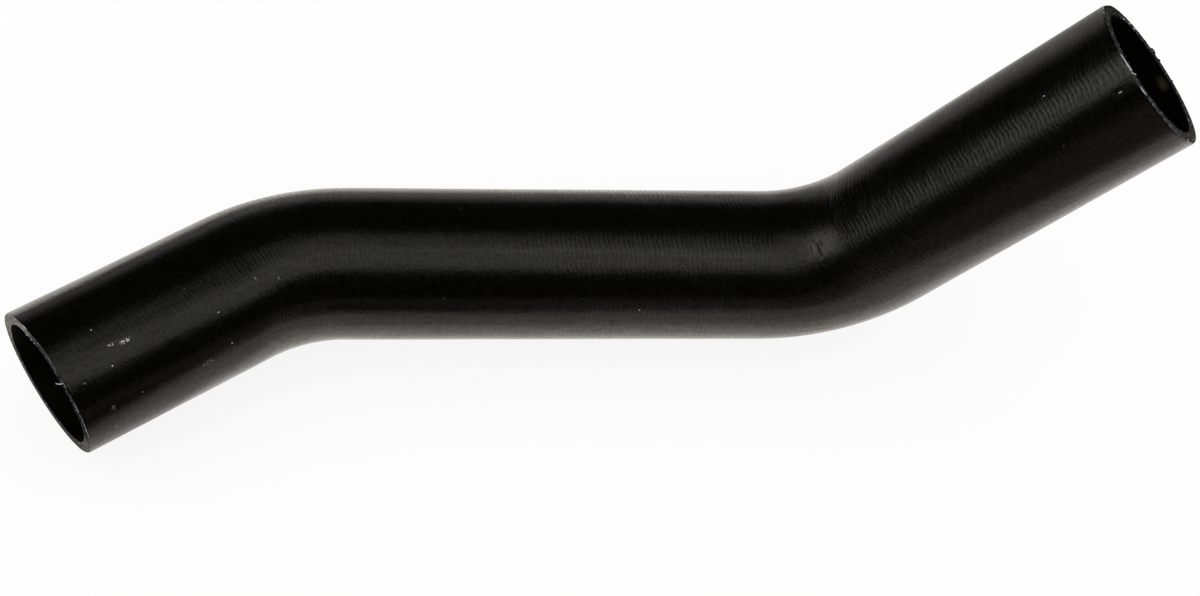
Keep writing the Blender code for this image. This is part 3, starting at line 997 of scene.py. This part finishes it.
def shifted(tree, tilt, side, shifts):
    """The tilt, less what the net's edge moves to the front where it lies far to one side."""
    for start, end, degrees in shifts:
        tilt = maths(tree, "SUBTRACT", tilt, fade(tree, side, start, end, 0.0, math.radians(degrees)))
    return tilt


def haze(tree, side):
    """How thin the velvet hangs low down behind the table, less so to the left."""
    return maths(tree, "MULTIPLY", fade(tree, side, *HAZE_LEFT_EDGE), HAZE_THIN)


def velvet_material(name, thinness_of):
    """Black velvet that lets through as much light as its thinness says."""
    material = bpy.data.materials.new(name)
    material.use_nodes = True
    tree = material.node_tree
    shader = tree.nodes["Principled BSDF"]
    shader.inputs["Base Color"].default_value = VELVET_COLOUR
    shader.inputs["Roughness"].default_value = 1.0
    shader.inputs["Specular IOR Level"].default_value = 0.0
    gaps = add_node(tree, "ShaderNodeBsdfTransparent")
    blend = add_node(tree, "ShaderNodeMixShader", {
        0: thinness_of(tree), 1: shader.outputs[0], 2: gaps.outputs[0]})
    tree.links.new(blend.outputs[0], tree.nodes["Material Output"].inputs["Surface"])
    return material


def tent_thinness(tree):
    """The net over the front of the table, and the haze low down behind it."""
    _, tilt, side = velvet_way(tree)
    front_tilt = shifted(tree, tilt, side, NET_FRONT_SHIFTS)
    back_tilt = shifted(tree, tilt, side, NET_BACK_SHIFTS)
    net = fade(tree, tilt, *NET_THINNEST_FROM, NET_THIN, NET_THINNEST)
    for angle, edge in ((back_tilt, NET_BACK_EDGE), (front_tilt, NET_FRONT_EDGE), (side, NET_LEFT_EDGE),
                        (side, NET_RIGHT_EDGE)):
        net = maths(tree, "MULTIPLY", net, fade(tree, angle, *edge))
    low_behind = maths(tree, "MULTIPLY", fade(tree, tilt, *HAZE_EDGE), haze(tree, side))
    return maths(tree, "MAXIMUM", net, low_behind)


def front_cloth_thinness(tree):
    """The velvet on the table in front of the hose: thinner close to it, along a slanted edge."""
    place, _, side = velvet_way(tree)
    split = add_node(tree, "ShaderNodeSeparateXYZ", {0: place}).outputs
    to_right = maths(tree, "MAXIMUM", split["X"], 0.0)
    slanted = maths(tree, "MULTIPLY_ADD", to_right, FRONT_CLOTH_SLANT, split["Y"])
    low = fade(tree, side, *FRONT_HAZE[0], *FRONT_HAZE[1])
    return fade(tree, slanted, *FRONT_CLOTH_EDGE, low, FRONT_CLOTH_THIN)


def back_cloth_thinness(tree):
    """The velvet on the table behind the hose: open close to it, and as thin as the haze beyond."""
    place, _, side = velvet_way(tree)
    split = add_node(tree, "ShaderNodeSeparateXYZ", {0: place}).outputs
    return maths(tree, "MAXIMUM", fade(tree, split["Y"], *BACK_CLOTH_EDGE), haze(tree, side))


def hang_velvet(piece, thinness_of):
    """Makes a piece of velvet that only shows in the gloss of what lies on the floor."""
    piece.data.materials.append(velvet_material(piece.name, thinness_of))
    piece.visible_camera = False
    piece.visible_diffuse = False
    piece.visible_transmission = False
    piece.visible_volume_scatter = False
    piece.visible_shadow = False


bpy.ops.object.select_all(action="DESELECT")
bpy.ops.mesh.primitive_uv_sphere_add(segments=64, ring_count=32, radius=VELVET_RADIUS)
tent = bpy.context.object
tent.name = "velvet_tent"
select_faces(tent, lambda face: face.center.z < 0.0)
bpy.ops.object.mode_set(mode="EDIT")
bpy.ops.mesh.select_mode(type="FACE")
bpy.ops.mesh.delete(type="FACE")
bpy.ops.object.mode_set(mode="OBJECT")
hang_velvet(tent, tent_thinness)

for name, middle, thinness_of in (
        ("velvet_in_front", FRONT_CLOTH_END - CLOTH_SIZE / 2.0, front_cloth_thinness),
        ("velvet_behind", BACK_CLOTH_EDGE[1] + CLOTH_SIZE / 2.0, back_cloth_thinness)):
    bpy.ops.object.select_all(action="DESELECT")
    bpy.ops.mesh.primitive_plane_add(size=CLOTH_SIZE, location=(0.0, middle, CLOTH_HEIGHT))
    cloth = bpy.context.object
    cloth.name = name
    bpy.ops.transform.resize(value=(CLOTH_WIDENING, 1.0, 1.0))
    bpy.ops.object.transform_apply(location=True, rotation=True, scale=True)
    hang_velvet(cloth, thinness_of)

lamp_data = bpy.data.lights.new("left_softbox", "AREA")
lamp_data.shape = "RECTANGLE"
lamp_data.size = LAMP_WIDTH
lamp_data.size_y = LAMP_DEPTH
lamp_data.energy = LAMP_POWER
lamp = bpy.data.objects.new("left_softbox", lamp_data)
bpy.context.scene.collection.objects.link(lamp)
way = Vector((math.sin(LAMP_SIDE), -math.cos(LAMP_SIDE) * math.sin(LAMP_TILT),
              math.cos(LAMP_SIDE) * math.cos(LAMP_TILT)))
lamp.location = way * LAMP_DISTANCE
lamp.rotation_euler = way.to_track_quat("Z", "Y").to_euler()
lamp.visible_camera = False

# The camera
# It looks down on the hose from the front, a little from the left, at the photograph's angle.
# It is tilted up from looking straight down, leans to the left and turns a little about the vertical.
CAMERA_PLACE = Vector((-0.0911, -0.4333, 0.6686))
CAMERA_TILT = math.radians(34.908)
CAMERA_LEAN = math.radians(-5.966)
CAMERA_TURN = math.radians(-4.112)
CAMERA_LENS = 58.9

camera_data = bpy.data.cameras.new("camera")
camera_data.lens = CAMERA_LENS
camera_data.sensor_width = 36.0
camera = bpy.data.objects.new("camera", camera_data)
bpy.context.scene.collection.objects.link(camera)
turn = Euler((CAMERA_TILT, CAMERA_LEAN, CAMERA_TURN)).to_matrix().to_4x4()
camera.matrix_world = Matrix.Translation(CAMERA_PLACE) @ turn
bpy.context.scene.camera = camera

bpy.context.scene.view_settings.view_transform = "Standard"
